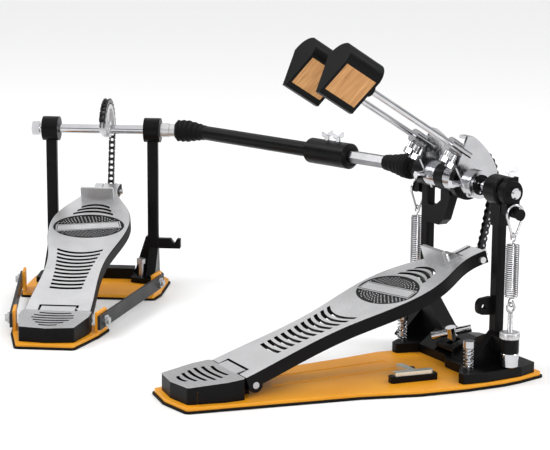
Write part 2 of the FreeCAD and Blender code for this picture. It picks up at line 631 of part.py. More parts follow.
def toe_clip(chain_x):
    """Chain clip on the toe pin, reaching forward to the chain's last pin."""
    block = box(chain_x - 7, chain_x + 7, 246, 263, -2, BOARD_TOP - 1)
    ears = []
    for sign in (-1, 1):
        low, high = sorted((chain_x + sign * 4.0, chain_x + sign * 7.0))
        ears.append(box(low, high, 255, CHAIN_PIN_ALONG + 3, TOE_PIN_UP - 3.5, TOE_PIN_UP + 3.5))
    body = block.fuse(ears)
    body = body.cut(across(chain_x - 8, chain_x + 8, TOE_PIN_ALONG, TOE_PIN_UP, 3.0))
    hole = across(chain_x - 8, chain_x + 8, CHAIN_PIN_ALONG, TOE_PIN_UP, CHAIN_PIN_RADIUS + FIT)
    body = body.cut(hole).removeSplitter()
    body.Placement = BOARD_PLACE
    return body


def toe_pin():
    pin = across(TOE_PIN_LEFT, TOE_PIN_RIGHT, TOE_PIN_ALONG, TOE_PIN_UP, 3.0)
    pin.Placement = BOARD_PLACE
    return pin


def chain_run(chain_x):
    """Straight run of chain, from the clip's pin to just short of the wheel."""
    pin = on_board(CHAIN_PIN_ALONG, TOE_PIN_UP)
    tangent, upward, _ = chain_tangent()
    end = tangent - upward * 3.0
    half_height, half_width = CHAIN_HEIGHT / 2, CHAIN_WIDTH / 2
    side = upward.cross(X)
    base = pin + upward * 5.0
    points = [base + side * half_height, end + side * half_height, end - side * half_height,
              base - side * half_height]
    face = Part.Face(Part.makePolygon(points + points[:1])).translated(X * (chain_x - half_width))
    run = face.extrude(X * CHAIN_WIDTH)
    eye = across(chain_x - half_width, chain_x + half_width, pin.y, pin.z, 3.0)
    tongue_points = [pin + side * 2.4, base + side * 2.4, base - side * 2.4, pin - side * 2.4]
    tongue_face = Part.Face(Part.makePolygon(tongue_points + tongue_points[:1]))
    tongue = tongue_face.translated(X * (chain_x - half_width)).extrude(X * CHAIN_WIDTH)
    stud = across(chain_x - 7.0, chain_x + 7.0, pin.y, pin.z, CHAIN_PIN_RADIUS)
    return run.fuse([eye, tongue, stud]).removeSplitter()


def chain_wrap(chain_x, sweep):
    """Chain lying on the wheel, from the tangent back to where it is fixed."""
    _, _, lean = chain_tangent()
    outer = WHEEL_RADIUS + CHAIN_HEIGHT / 2
    inner = WHEEL_RADIUS - CHAIN_HEIGHT / 2
    half = CHAIN_WIDTH / 2
    return sector(chain_x - half, chain_x + half, -lean, sweep + lean, outer, inner)


# Beaters

def head_frame(rod_x):
    """Placement with Z along the rod, X across and Y towards the struck side."""
    start, along = rod_line(rod_x)
    strike = along.cross(X) * -1
    matrix = FreeCAD.Matrix(1, 0, along.x, rod_x, 0, -strike.y, along.y, start.y,
                            0, -strike.z, along.z, start.z, 0, 0, 0, 1)
    return FreeCAD.Placement(matrix)


def beater_rod(rod_x):
    start, along = rod_line(rod_x)
    return bar(start - along * 9.0, start + along * (HEAD_START + HEAD_LENGTH), ROD_RADIUS)


def head_body(z0, z1):
    """Moulded body: a rounded crown over two sides that meet at a tip."""
    outline = [(-31.5, 3), (-29.6, -2), (-20.8, -31.5), (-16, -31), (-13.8, -26.2), (0.8, 2)]
    flat = [V(x, y, z0) - ROD_PLACE for x, y in outline]
    crest = V(-10, 18, z0) - ROD_PLACE
    edges = [Part.LineSegment(a, b).toShape() for a, b in zip(flat, flat[1:])]
    edges.append(Part.Arc(flat[-1], V(-2.2, 13.8, z0) - ROD_PLACE, crest).toShape())
    edges.append(Part.Arc(crest, V(-22, 14.5, z0) - ROD_PLACE, flat[0]).toShape())
    return Part.Face(Part.Wire(edges)).extrude(Z * (z1 - z0))


def facing(start, end, thickness, z0, z1):
    """Flat facing along one side of the head."""
    along = (end - start).normalize()
    inward = along.cross(Z) * thickness
    points = [start, end, end + inward, start + inward]
    return plate([(p.x - ROD_PLACE.x, p.y - ROD_PLACE.y) for p in points], z0, z1)


def beater_head(rod_x):
    """Three-faced head: a moulded body with a collar, a wood face and a felt face."""
    z0, z1 = HEAD_START, HEAD_START + HEAD_LENGTH
    wood = facing(V(0, 0.2, 0), V(-13.6, -25.9, 0), 3.5, z0, z1)
    felt = facing(V(-21.6, -31.0, 0), V(-33.4, -0.5, 0), 4.5, z0, z1)
    collar = bar(V(0, 0, z0 - 9), V(0, 0, z0 - 3), 6.0)
    body = head_body(z0 - 3, z1 + 3).fuse(collar)
    body = body.cut(bar(V(0, 0, z0 - 10), V(0, 0, z1 + GAP), ROD_RADIUS + FIT))
    body = body.cut([wood, felt]).removeSplitter()
    pieces = [body, wood, felt]
    for piece in pieces:
        piece.Placement = head_frame(rod_x)
    return pieces


# Driveshaft

SHAFT_START = SLAVE.multVec(V(SLAVE_JOINT_X, 0, AXLE_HEIGHT))
SHAFT_END = V(PRIMARY_JOINT_X, 0, AXLE_HEIGHT)
SHAFT_LENGTH = (SHAFT_END - SHAFT_START).Length
SHAFT_ALONG = (SHAFT_END - SHAFT_START).normalize()


def on_shaft(along, up=0.0):
    return SHAFT_START + SHAFT_ALONG * along + Z * up


def yoke(centre, along, fork, stem):
    """Fork of a universal joint: two ears on a round stem."""
    along = V(along).normalize()
    base = bar(centre - along * stem, centre - along * 9.0, YOKE_RADIUS)
    side = fork.cross(along).normalize()
    ears = []
    for sign in (-1, 1):
        inner = centre - along * 9.5 + fork * (sign * 4.2) - side * 2.6
        corners = [inner, inner + along * 12, inner + along * 12 + side * 5.2, inner + side * 5.2]
        face = Part.Face(Part.makePolygon(corners + corners[:1]))
        ears.append(face.extrude(fork * (sign * 2.4)))
    body = base.fuse(ears)
    return body.cut(bar(centre - fork * 8, centre + fork * 8, 1.8)).removeSplitter()


def cross_piece(centre, fork):
    """Trunnion held by one fork, clear of the other."""
    return bar(centre - fork * 6.6, centre + fork * 6.6, 1.8)


def boot(centre, first, second, first_length, second_length):
    """Rubber boot over a universal joint, bent where the joint bends."""
    outer = bar(centre, centre + first * first_length, 12.3)
    outer = outer.fuse([bar(centre, centre + second * second_length, 12.3),
                        Part.makeSphere(12.3, centre)])
    inner = bar(centre, centre + first * (first_length - 2), 10.6)
    inner = inner.fuse([bar(centre, centre + second * (second_length - 2), 10.6),
                        Part.makeSphere(10.6, centre)])
    mouths = [bar(centre, centre + first * 40, YOKE_RADIUS + FIT),
              bar(centre, centre + second * 40, YOKE_RADIUS + FIT)]
    return outer.cut([inner] + mouths)


def driveshaft():
    end_yoke = yoke(SHAFT_END, SHAFT_ALONG, Z, 26)
    rod = hexagon(on_shaft(130), on_shaft(SHAFT_LENGTH - 24), HEX_FLATS).fuse(end_yoke)
    keep("hex_rod", rod.removeSplitter())
    bore = hexagon(on_shaft(60), on_shaft(260), HEX_FLATS + 2 * FIT)
    shaft_tube = bar(on_shaft(24), on_shaft(205), TUBE_RADIUS).cut(bore)
    keep("shaft_tube", shaft_tube.fuse(yoke(SHAFT_START, -SHAFT_ALONG, Z, 26)).removeSplitter())
    sleeve = bar(on_shaft(188), on_shaft(249), 13.0)
    rims = [e for e in sleeve.Edges if isinstance(e.Curve, Part.Circle)]
    sleeve = sleeve.makeChamfer(3.0, rims)
    sleeve = sleeve.cut([bar(on_shaft(187), on_shaft(205), TUBE_RADIUS), bore])
    holes = [bar(on_shaft(along, 5), on_shaft(along, 20), 2.0) for along in SHAFT_SCREWS]
    keep("lock_sleeve", sleeve.cut(holes).removeSplitter())
    across_shaft = V(-SHAFT_ALONG.y, SHAFT_ALONG.x, 0)
    screws = [wing_screw(on_shaft(a, 13.0), Z, across_shaft, 6.0, 0.8) for a in SHAFT_SCREWS]
    keep("shaft_lock_screws", *screws)


# Slave pedal's own parts, in the slave frame

def rail_x(y):
    """Inner face of a side rail, measured from the centre line."""
    return RAIL_START.x + (RAIL_END.x - RAIL_START.x) * (y - RAIL_START.y) / (RAIL_END.y - RAIL_START.y)


def slave_outlines():
    """Outlines of the separate front and rear plates; their sides follow the rails."""
    front = [(28, -304), (rail_x(-256), -256), (rail_x(-226), -226)]
    rear = [(rail_x(-92), -92), (rail_x(-70), -70), (rail_x(-70), -8), (62, 14)]
    outlines = []
    for half in (front, rear):
        outlines.append(half + [(-x, y) for x, y in reversed(half)])
    return outlines


def tab(y0, y1, z1):
    """Upturned edge of a plate, on the inside of the right-hand rail."""
    run = (RAIL_END - RAIL_START).normalize()
    inward = run.cross(Z).normalize() * -3
    start, end = V(rail_x(y0), y0, 0), V(rail_x(y1), y1, 0)
    corners = [start, end, end + inward, start + inward]
    return plate([(p.x, p.y) for p in corners], PAD_THICKNESS, z1)


def slave_plates():
    plates = []
    for outline, y0, y1, z1 in zip(slave_outlines(), (-255, -91), (-230, -66), (25, 27)):
        body = plate(outline, PAD_THICKNESS, PLATE_TOP, 3.0)
        right = tab(y0, y1, z1)
        plates.append(body.fuse([right, right.mirror(V(0, 0, 0), X)]).removeSplitter())
    return plates


def slave_pads():
    return [plate(outline, 0, PAD_THICKNESS, 3.0) for outline in slave_outlines()]


def slave_rail(sign):
    """Flat bar along one side, bolted outside the plates' upturned tabs."""
    run = RAIL_END - RAIL_START
    out = run.cross(Z).normalize() * RAIL_THICKNESS
    corners = [RAIL_START, RAIL_END, RAIL_END + out, RAIL_START + out]
    rail = Part.Face(Part.makePolygon(corners + corners[:1])).extrude(V(0, 0, 14))
    return rail if sign > 0 else rail.mirror(V(0, 0, 0), X)


def slave_post(sign):
    """Upright with its foot and bearing housing; the right one has a hook lug."""
    x = SLAVE_POST
    post = upright(x, PLATE_TOP, AXLE_HEIGHT - 6)
    body = post.fuse(across(x - 9, x + 9, 0, AXLE_HEIGHT, HOUSING_RADIUS))
    foot_outline = [(36, -30), (68, -44), (70, -8), (62, 10), (36, 10)]
    foot = plate(foot_outline, PLATE_TOP, FOOT_TOP - 3, 2.5)
    flare = frontal([(36, FOOT_TOP - 3), (x + 6, FOOT_TOP - 3), (x + 6, 52), (49, 52)], -4.5, 4.5)
    gusset = cheek([(-30, FOOT_TOP - 3), (-4, 40), (4, 40), (8, FOOT_TOP - 3)], x - 4, x + 6, 1.0)
    body = body.fuse([foot, flare, gusset])
    if sign > 0:
        hook = frontal([(x, 39), (x + 31, 39), (x + 31, 50), (x + 27, 50), (x + 24, 44),
                        (x + 20, 50), (x, 50)], -4, 4, 1.0)
        body = body.fuse(hook)
    body = body.cut([across(x - 10, x + 10, 0, AXLE_HEIGHT, AXLE_RADIUS + FIT)])
    body = body.removeSplitter()
    return body if sign > 0 else body.mirror(V(0, 0, 0), X)


def slave_crossbar():
    return box(-35.6, 35.6, -14, 4, PLATE_TOP, PLATE_TOP + 12)


def slave_axle():
    axle = across(-76, 76, 0, AXLE_HEIGHT, AXLE_RADIUS)
    nut = hexagon(V(-78, 0, AXLE_HEIGHT), V(-70, 0, AXLE_HEIGHT), 14)
    return axle.fuse(nut).removeSplitter()


def slave_coupler():
    """Collar and stub beside the right housing, ending in the joint's fork."""
    joint = V(SLAVE_JOINT_X, 0, AXLE_HEIGHT)
    collar = ring(66.6, 76, 0, AXLE_HEIGHT, 7.8, AXLE_RADIUS)
    return collar, yoke(joint, X, Y, 25.8), cross_piece(joint, Y)


def slave_fasteners():
    """Rail bolts, the heel's hinge pin and the spring-loaded foot bolt."""
    run = (RAIL_END - RAIL_START).normalize()
    out = run.cross(Z).normalize()
    bolts = []
    for y, z in ((-243, 15), (-80, 17)):
        seat = V(rail_x(y), y, z) + out * RAIL_THICKNESS
        bolt = bar(seat, seat + out * 2.5, 5.6).fuse(bar(seat, seat + out * 5, 3.6))
        bolts += [bolt, bolt.mirror(V(0, 0, 0), X)]
    x, y, low = 47, -24, FOOT_TOP - 3
    foot_bolt = bar(V(x, y, low), V(x, y, 26), 3.0).fuse(bar(V(x, y, 26), V(x, y, 31), 5.0))
    return bolts + [foot_bolt, heel_pin()]


# Write the nodes

def primary_base():
    keep("base_pad", base_sheet(0, PAD_THICKNESS))
    keep("base_plate", base_plate())
    keep("heel_plate", heel_plate())
    keep("heel_pin", heel_pin())
    keep("post_right", post_right())
    keep("post_left", post_left())
    keep("bridge_casting", bridge_casting())
    bearings = []
    for x in (48, 56.5, -68, -60, MIDDLE_HOUSING[0], MIDDLE_HOUSING[1] - 7):
        bearings.append(ring(x, x + 7, 0, AXLE_HEIGHT, BEARING_RADIUS, AXLE_RADIUS + FIT))
    keep("axle_bearings", *bearings)
    keep("tension_adjusters", *tension_adjusters(SPRING_X), *tension_adjusters(SPRING_LEFT_X))
    keep("drum_key_and_clip", *drum_key())
    keep("hoop_jaw", hoop_jaw())
    keep("hoop_screw", hoop_screw())
    keep("spur_right", spur(*SPUR_PLACES[0]))
    keep("spur_left", spur(*SPUR_PLACES[1]))
    keep("spur_springs", *[spur_spring(*place) for place in SPUR_PLACES])


def drum_key():
    """Tuning key lying in a clip on the base."""
    low, seat, high = PLATE_TOP, PLATE_TOP + 6, PLATE_TOP + 9.5
    clip = plate([(41.5, -106.4), (50.5, -107.6), (56.5, -62.6), (47.5, -61.4)], low, seat, 2.0)
    prong = plate([(50.4, -81.3), (27.4, -69.3), (24.6, -74.7), (47.6, -86.7)], low, seat, 1.5)
    handle = plate([(43, -102.6), (50, -103.5), (55, -66.5), (48, -65.6)], seat, high, 2.0)
    stem = plate([(49, -80.5), (24, -80.5), (24, -87.5), (49, -87.5)], seat, high, 1.5)
    return clip.fuse(prong).removeSplitter(), handle.fuse(stem).removeSplitter()


def right_axle():
    middle = sum(MIDDLE_HOUSING) / 2
    axle = across(middle + GAP, 80, 0, AXLE_HEIGHT, AXLE_RADIUS)
    keep("axle_right", axle.makeChamfer(1.5, [e for e in axle.Edges if e.BoundBox.XMin > 79]))
    keep("beater_hub_right", hub(-19.4, 25, BEATER_X, BEATER_X + 3))
    keep("chain_wheel_right", wheel_sector(CHAIN_X, WHEEL_START, 128, RIM_RADIUS, HUB_RADIUS))
    keep("hub_screws_right", *hub_screws(BEATER_X, 9))
    screw_seat = V(70.5, 0, AXLE_HEIGHT + 14)
    keep("rocker_right", rocker(64.6, 74.4, 73, 85, 83.5), wing_screw(screw_seat, Z, Y, 4, 0.8))
    keep("chain_wrap_right", chain_wrap(CHAIN_X, WRAP_SWEEP))


def left_axle():
    left = BEATER_X - BEATER_PITCH
    middle = sum(MIDDLE_HOUSING) / 2
    stem = 19.0
    keep("axle_left", across(PRIMARY_JOINT_X + stem, middle - GAP, 0, AXLE_HEIGHT, AXLE_RADIUS))
    keep("beater_hub_left", hub(-52.6, MIDDLE_HOUSING[0] - 0.6, left, left + 3))
    keep("hub_screws_left", *hub_screws(left, -48.9))
    keep("rocker_left", rocker(-75.5, -68.4, -84.5, -74, -84.5))
    joint = V(PRIMARY_JOINT_X, 0, AXLE_HEIGHT)
    keep("coupler_primary", yoke(joint, -X, Y, stem), cross_piece(joint, Y))


def pedal_drive(suffix, chain_x, place=None):
    keep("footboard" + suffix, footboard(chain_x), place=place)
    keep("toe_hardware" + suffix, toe_stop(), toe_clip(chain_x), toe_pin(), place=place)
    keep("chain_run" + suffix, chain_run(chain_x), place=place)


def springs():
    for side, x in (("right", SPRING_X), ("left", SPRING_LEFT_X)):
        keep("spring_link_" + side, spring_link(x))
        keep("spring_" + side, spring(x))


def beaters():
    for side, x in (("right", BEATER_X), ("left", BEATER_X - BEATER_PITCH)):
        body, wood, felt = beater_head(x)
        keep("beater_rod_" + side, beater_rod(x))
        keep("beater_body_" + side, body)
        keep("beater_wood_" + side, wood)
        keep("beater_felt_" + side, felt)


def slave_pedal():
    keep("slave_pads", *slave_pads(), place=SLAVE)
    keep("slave_plates", *slave_plates(), place=SLAVE)
    keep("slave_rails", slave_rail(1), slave_rail(-1), place=SLAVE)
    keep("slave_heel_plate", heel_plate(), place=SLAVE)
    keep("slave_posts", slave_post(1), slave_post(-1), slave_crossbar(), place=SLAVE)
    keep("slave_axle", slave_axle(), place=SLAVE)
    wheel = wheel_sector(CHAIN_X_SLAVE, WHEEL_START, 190, RIM_RADIUS, AXLE_RADIUS + 0.01)
    keep("slave_chain_wheel", wheel, place=SLAVE)
    keep("slave_chain_wrap", chain_wrap(CHAIN_X_SLAVE, WRAP_SWEEP_SLAVE), place=SLAVE)
    keep("slave_coupler", *slave_coupler(), place=SLAVE)
    keep("slave_fasteners", *slave_fasteners(), place=SLAVE)


def boots():
    keep("boot_primary", boot(SHAFT_END, -SHAFT_ALONG, X, 26, 14))
    slave_x = SLAVE.Rotation.multVec(V(-1, 0, 0))
    keep("boot_slave", boot(SHAFT_START, slave_x, SHAFT_ALONG, 20, 24))


os.makedirs("parts", exist_ok=True)
primary_base()
right_axle()
left_axle()
springs()
pedal_drive("_right", CHAIN_X)
beaters()
driveshaft()
boots()
slave_pedal()
pedal_drive("_slave", CHAIN_X_SLAVE, SLAVE)
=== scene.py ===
"""Looks of the double bass drum pedal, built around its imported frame.

Everything is in metres in the row frame. Sizes written with MM are millimetres of the real object.
The two pedals share one layout, so each has a Layout that turns its own coordinates into the row's.
"""

import json
import math

import bmesh
import bpy
from mathutils import Matrix, Vector


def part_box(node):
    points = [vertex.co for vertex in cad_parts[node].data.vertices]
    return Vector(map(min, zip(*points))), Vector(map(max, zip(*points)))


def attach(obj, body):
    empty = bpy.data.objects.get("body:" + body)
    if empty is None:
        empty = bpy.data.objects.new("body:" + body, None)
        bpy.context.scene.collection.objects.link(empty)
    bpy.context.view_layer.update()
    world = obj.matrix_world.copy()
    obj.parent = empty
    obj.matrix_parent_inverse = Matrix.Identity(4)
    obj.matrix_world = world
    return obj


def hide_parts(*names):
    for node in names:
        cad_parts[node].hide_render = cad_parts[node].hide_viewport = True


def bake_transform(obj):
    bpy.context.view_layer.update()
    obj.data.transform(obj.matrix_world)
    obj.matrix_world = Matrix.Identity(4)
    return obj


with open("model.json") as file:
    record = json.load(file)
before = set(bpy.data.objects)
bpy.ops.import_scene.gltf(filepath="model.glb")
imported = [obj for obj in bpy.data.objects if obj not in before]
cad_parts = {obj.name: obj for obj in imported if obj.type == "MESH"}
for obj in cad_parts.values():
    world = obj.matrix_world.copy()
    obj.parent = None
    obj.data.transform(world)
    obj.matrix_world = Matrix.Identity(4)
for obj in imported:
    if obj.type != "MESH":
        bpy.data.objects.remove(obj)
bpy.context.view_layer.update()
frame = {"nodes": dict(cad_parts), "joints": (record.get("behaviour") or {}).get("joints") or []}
joints = {joint["name"]: joint for joint in frame["joints"]}

MM = 0.001
X, Y, Z = Vector((1, 0, 0)), Vector((0, 1, 0)), Vector((0, 0, 1))

# Sizes that the frame doesn't give

BOARD_SLOPE = math.radians(18.5)
BOARD_TOP = 10.5 * MM                         # tread surface above the heel pin's line
HEEL_REST_SLOPE = math.radians(4.4)
HEEL_REST_TOP = Vector((0, -297, 20)) * MM    # point on the heel rest, in the pedal's own frame
BRIGHT_DEPTH = 0.15 * MM                      # bright metal reaches this far below a tread
CREST_TOP = 186 * MM                          # seat of the wing screw on the right rocker
CREST_MARGIN = 0.2 * MM
KEY_SEAT = 11 * MM                            # top of the drum key's clip
WHEEL_RADIUS = 31.5 * MM                      # chain's pitch line
CHAIN_PITCH = 6.35 * MM
WRAP_END = {"right": 100.0, "slave": 165.0}   # degrees over the wheel from its front
COIL_LOW, COIL_HIGH = 78 * MM, 127 * MM
COIL_RADIUS = 5.75 * MM
COIL_WIRE = 0.55 * MM
COIL_TURNS = 26
HOOK_RADIUS = 3.6 * MM
HOOK_WIRE = 0.7 * MM
EYE_HEIGHT = 69 * MM                          # eyebolts' eyes, which hold the springs
LUG_LOW, LUG_TOP = 28 * MM, 40.3 * MM         # lugs that the eyebolts pass through
GRAIN_TILT = math.radians(27.512)             # wood grain, from across the head towards the axle


def anchor(name):
    return Vector(joints[name]["pos_m"])


def direction(name):
    return Vector(joints[name]["axis"]).normalized()


def circle(centre, first, second, radius, count):
    turns = [2 * math.pi * step / count for step in range(count)]
    return [centre + (first * math.cos(t) + second * math.sin(t)) * radius for t in turns]


# Materials

SHADER_INPUTS = {"colour": "Base Color", "roughness": "Roughness", "metallic": "Metallic",
                 "coat": "Coat Weight", "coat_roughness": "Coat Roughness", "normal": "Normal",
                 "specular": "Specular IOR Level", "sheen": "Sheen Weight"}
DULL = 0.10       # specular level of paint and plastic


class Paint:
    """A node material whose colour, roughness and relief vary over the object's coordinates."""

    def __init__(self, name):
        self.material = bpy.data.materials.new(name)
        self.material.use_nodes = True
        self.tree = self.material.node_tree
        self.shader = self.tree.nodes["Principled BSDF"]
        self.place = self.node("ShaderNodeTexCoord").outputs["Object"]

    def node(self, kind, inputs=(), **settings):
        made = self.tree.nodes.new(kind)
        for key, value in settings.items():
            setattr(made, key, value)
        for key, value in dict(inputs).items():
            if isinstance(value, bpy.types.NodeSocket):
                self.tree.links.new(value, made.inputs[key])
            else:
                made.inputs[key].default_value = value
        return made

    def noise(self, size, detail=4.0, stretch=(1, 1, 1), place=None):
        """Noise whose features are about size metres across."""
        place = self.place if place is None else place
        laid = self.node("ShaderNodeMapping", {"Vector": place, "Scale": stretch})
        inputs = {"Vector": laid.outputs["Vector"], "Scale": 1 / size, "Detail": detail}
        return self.node("ShaderNodeTexNoise", inputs).outputs[0]

    def span(self, value, low, high, to_low, to_high):
        inputs = {"Value": value, "From Min": low, "From Max": high,
                  "To Min": to_low, "To Max": to_high}
        return self.node("ShaderNodeMapRange", inputs).outputs[0]

    def vary(self, noise, low=0.0, high=1.0):
        """Spreads the range that noise mostly stays in over low to high."""
        return self.span(noise, 0.3, 0.7, low, high)

    def math(self, operation, first, second):
        return self.node("ShaderNodeMath", {0: first, 1: second}, operation=operation).outputs[0]

    def mix(self, factor, first, second):
        made = self.node("ShaderNodeMix", {0: factor}, data_type="RGBA")
        for socket, colour in ((made.inputs[6], first), (made.inputs[7], second)):
            if isinstance(colour, bpy.types.NodeSocket):
                self.tree.links.new(colour, socket)
            else:
                socket.default_value = (*colour, 1)
        return made.outputs[2]

    def tones(self, noise, colour, darker, paler):
        """Colour that drifts between two shades of itself."""
        return self.mix(self.vary(noise), shade(colour, darker), shade(colour, paler))

    def dot(self, first, second):
        inputs = {0: first, 1: second}
        made = self.node("ShaderNodeVectorMath", inputs, operation="DOT_PRODUCT")
        return made.outputs["Value"]

    def above(self, normal, height):
        """1 where the point lies further along normal than height, in metres."""
        return self.math("GREATER_THAN", self.dot(self.place, normal), height)

    def edges(self, radius, strength):
        """Mask of the shape's edges, from how far a rounded normal leaves the real one."""
        rounded = self.node("ShaderNodeBevel", {"Radius": radius}, samples=6).outputs[0]
        real = self.node("ShaderNodeNewGeometry").outputs["Normal"]
        mask = self.span(self.dot(rounded, real), 0.98, 0.80, 0.0, 1.0)
        return self.math("MULTIPLY", mask, strength)

    def set(self, **inputs):
        for key, value in inputs.items():
            socket = self.shader.inputs[SHADER_INPUTS[key]]
            if isinstance(value, bpy.types.NodeSocket):
                self.tree.links.new(value, socket)
            else:
                socket.default_value = (*value, 1) if key == "colour" else value
        return self

    def relief(self, height, depth):
        inputs = {"Height": height, "Distance": depth, "Strength": 1.0}
        return self.set(normal=self.node("ShaderNodeBump", inputs).outputs[0])


def shade(colour, amount):
    return tuple(min(1.0, channel * amount) for channel in colour)


def metal(name, colour, roughness, grain=0.6 * MM, stretch=(1, 1, 1), spread=0.08, highlight=0.0,
          depth=0.01 * MM):
    """Bare or plated metal. Its edges are painted brighter: a painted highlight along them."""
    paint = Paint(name)
    fine, broad = paint.noise(grain, 5.0, stretch), paint.noise(14 * MM, 3.0)
    tone = paint.tones(broad, colour, 0.90, 1.06)
    # Painted highlight: the edges get a paler copy of the colour, as if they caught the light.
    if highlight:
        tone = paint.mix(paint.edges(0.5 * MM, highlight), tone, shade(colour, 1.5))
    paint.set(colour=tone, metallic=1.0)
    paint.set(roughness=paint.vary(fine, max(0.03, roughness - spread), roughness + spread))
    paint.relief(fine, depth)
    return paint.material


def moulded(name, colour, roughness, grain=0.5 * MM, depth=0.02 * MM, highlight=0.35,
            highlight_tone=(0.20, 0.20, 0.21), spread=0.08):
    """Painted, cast or moulded finish: a fine grain, slow tone changes and patches of painted
    highlight that make its edges paler.
    """
    paint = Paint(name)
    fine, broad = paint.noise(grain), paint.noise(22 * MM, 3.0)
    # Painted highlight: patches of the edges are painted a paler grey, as if they caught the light.
    highlight_patches = paint.span(paint.noise(5 * MM, 5.0), 0.42, 0.66, 0.25, 1.0)
    mask = paint.math("MULTIPLY", paint.edges(0.45 * MM, highlight), highlight_patches)
    tone = paint.mix(mask, paint.tones(broad, colour, 0.86, 1.14), highlight_tone)
    paint.set(colour=tone, metallic=0.0, specular=DULL)
    paint.set(roughness=paint.vary(broad, roughness - spread, roughness + spread))
    paint.relief(fine, depth)
    return paint.material


def two_tone(name, normal, height, upper, upper_rough=0.30, lower_rough=0.45):
    """Bright brushed metal above a plane, black casting below it."""
    paint = Paint(name)
    mask = paint.above(normal, height)
    fine, broad = paint.noise(0.5 * MM, 5.0), paint.noise(30 * MM, 3.0)
    bright, dark = paint.tones(broad, upper, 0.92, 1.05), paint.tones(broad, SOOT, 0.8, 1.25)
    paint.set(colour=paint.mix(mask, dark, bright), metallic=paint.math("MULTIPLY", mask, 0.85))
    brushed = paint.vary(fine, upper_rough - 0.05, upper_rough + 0.07)
    rough = paint.node("ShaderNodeMix", {0: mask, 2: lower_rough, 3: brushed}).outputs[0]
    paint.set(roughness=rough, specular=DULL)
    paint.relief(fine, 0.012 * MM)
    return paint.material


def wood(name, along):
    """Pale straight-grained wood. The noise is drawn out along the grain."""
    paint = Paint(name)
    turn = Z.rotation_difference(along).inverted().to_euler()
    laid = paint.node("ShaderNodeMapping", {"Vector": paint.place, "Rotation": turn}).outputs[0]
    fine_size, broad_size, drawn_out = 1 / 1100, 1 / 420, (1, 1, 0.05)
    fine = paint.noise(fine_size, 5.0, drawn_out, laid)
    broad = paint.noise(broad_size, 3.0, drawn_out, laid)
    dark, pale = (0.50, 0.235, 0.070), (0.64, 0.33, 0.115)
    base = paint.mix(paint.span(broad, 0.35, 0.68, 0, 1), dark, pale)
    tone = paint.mix(paint.span(fine, 0.48, 0.68, 0, 0.8), base, (0.33, 0.13, 0.03))
    paint.set(colour=tone, roughness=paint.vary(fine, 0.38, 0.55), coat=0.1, coat_roughness=0.3)
    paint.relief(fine, 0.05 * MM)
    return paint.material


def felt(name):
    """Pressed cream felt: short darker fibres over slow changes of tone."""
    paint = Paint(name)
    fibre, broad = paint.noise(0.35 * MM, 8.0), paint.noise(4 * MM)
    tone = paint.mix(paint.vary(broad), (0.52, 0.49, 0.37), (0.60, 0.57, 0.44))
    paint.set(colour=paint.mix(paint.span(fibre, 0.5, 0.75, 0, 0.4), tone, (0.40, 0.37, 0.28)))
    paint.set(roughness=0.95, sheen=0.4)
    paint.relief(fibre, 0.25 * MM)
    return paint.material


def enamel(name):
    """Orange enamel with a fine orange-peel surface and edges painted paler orange as a painted
    highlight.
    """
    paint = Paint(name)
    peel, broad = paint.noise(1.1 * MM, 3.0), paint.noise(45 * MM, 3.0)
    tone = paint.mix(paint.vary(broad), (0.86, 0.335, 0.010), (0.92, 0.39, 0.016))
    # Painted highlight: the edges are painted a paler orange, as if they caught the light.
    paint.set(colour=paint.mix(paint.edges(0.4 * MM, 0.4), tone, (1.0, 0.62, 0.16)))
    paint.set(roughness=paint.vary(peel, 0.34, 0.48), specular=0.3, coat=0.1, coat_roughness=0.2)
    paint.relief(peel, 0.012 * MM)
    return paint.material


SILVER, SOOT = (0.62, 0.62, 0.63), (0.004, 0.004, 0.0045)

black = moulded("black_casting", SOOT, 0.34, highlight=0.15)
rubber = moulded("rubber", (0.005, 0.005, 0.005), 0.62, grain=0.8 * MM, highlight=0.1, depth=0.05 * MM)
plastic = moulded("beater_plastic", SOOT, 0.40, grain=0.7 * MM, highlight=0.2)
rail_grey = moulded("rail_grey", (0.030, 0.031, 0.033), 0.33, highlight=0.4, highlight_tone=(0.3, 0.3, 0.3))
chrome = metal("chrome", (0.58, 0.58, 0.60), 0.10, spread=0.05)
cast_chrome = metal("cast_chrome", (0.50, 0.50, 0.52), 0.17, grain=2.5 * MM, depth=0.06 * MM,
                    highlight=0.2)
rod_metal = metal("rod_chrome", (0.60, 0.60, 0.62), 0.09, stretch=(1, 0.2, 0.2), spread=0.04)
steel = metal("steel", (0.45, 0.45, 0.46), 0.28, highlight=0.3)
steel_bright = metal("spring_wire", (0.50, 0.50, 0.52), 0.18)
satin = metal("satin_metal", (0.66, 0.66, 0.67), 0.38, grain=0.4 * MM)
hex_satin = metal("hex_satin", (0.27, 0.27, 0.28), 0.36, grain=0.4 * MM)
chain_steel = metal("chain_steel", (0.035, 0.035, 0.037), 0.34, highlight=0.5)
orange = enamel("orange_enamel")
felt_paint = felt("beater_felt")
wood_paint = wood("beater_wood", direction("right_beater_face").cross(X) * math.cos(GRAIN_TILT)
                  + X * math.sin(GRAIN_TILT))
key_finish = two_tone("key_finish", Z, KEY_SEAT, (0.74, 0.80, 0.76), lower_rough=0.4)
rocker_finish = two_tone("rocker_finish", Z, CREST_TOP + CREST_MARGIN, (0.80, 0.80, 0.82),
                         upper_rough=0.14, lower_rough=0.36)


# Layout of a pedal

